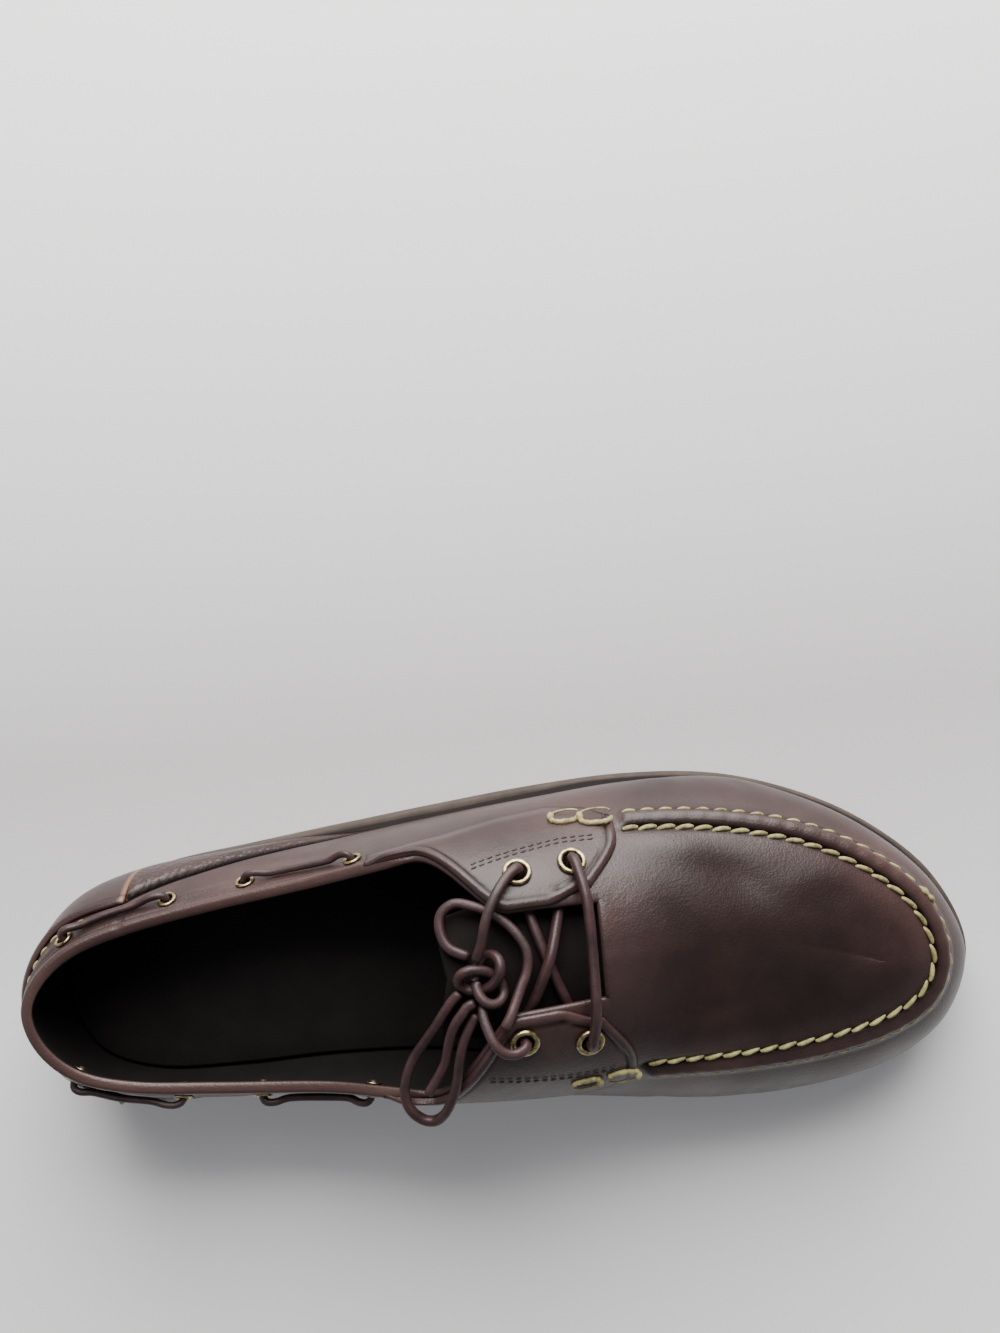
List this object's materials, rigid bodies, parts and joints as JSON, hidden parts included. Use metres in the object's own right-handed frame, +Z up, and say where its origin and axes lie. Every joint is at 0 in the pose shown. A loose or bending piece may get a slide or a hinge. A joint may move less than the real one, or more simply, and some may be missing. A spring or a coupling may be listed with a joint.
{
  "type": "boat shoe",
  "caption": "Left boat shoe: soft leather upper with a hand-sewn raised plug seam, low open collar, lace over the throat and a flat rubber sole with a slight toe spring.",
  "frame": {"origin": "middle of the shoe's footprint box, on the floor under the sole", "axes": "+X from heel to toe, +Y to the outer side of the foot, +Z up"},
  "size_m": [0.3007, 0.1043, 0.0845],
  "materials": {
    "upper_leather": "oiled pull-up",
    "lining_leather": "matte",
    "sole_rubber": "matte",
    "eyelet_brass": "antiqued satin",
    "lace_leather": "waxed cord"
  },
  "bodies": {
    "root": {"collar_eyelet_inner_1": "eyelet_brass", "collar_eyelet_inner_2": "eyelet_brass", "collar_eyelet_inner_3": "eyelet_brass", "collar_eyelet_inner_4": "eyelet_brass", "collar_eyelet_outer_1": "eyelet_brass", "collar_eyelet_outer_2": "eyelet_brass", "collar_eyelet_outer_3": "eyelet_brass", "collar_eyelet_outer_4": "eyelet_brass", "collar_thong_inner_1": "lace_leather", "collar_thong_inner_3": "lace_leather", "collar_thong_outer_1": "lace_leather", "collar_thong_outer_3": "lace_leather", "eyestay_inner": "upper_leather", "eyestay_outer": "upper_leather", "heel_kicker": "upper_leather", "insole": "lining_leather", "lace_crossings": "lace_leather", "lace_curl": "lace_leather", "lace_end": "lace_leather", "lace_eyelet_back_inner": "eyelet_brass", "lace_eyelet_back_outer": "eyelet_brass", "lace_eyelet_front_inner": "eyelet_brass", "lace_eyelet_front_outer": "eyelet_brass", "lace_knot": "lace_leather", "lace_loop": "lace_leather", "outsole": "sole_rubber", "tongue": "upper_leather", "upper": "upper_leather"}
  },
  "joints": []
}
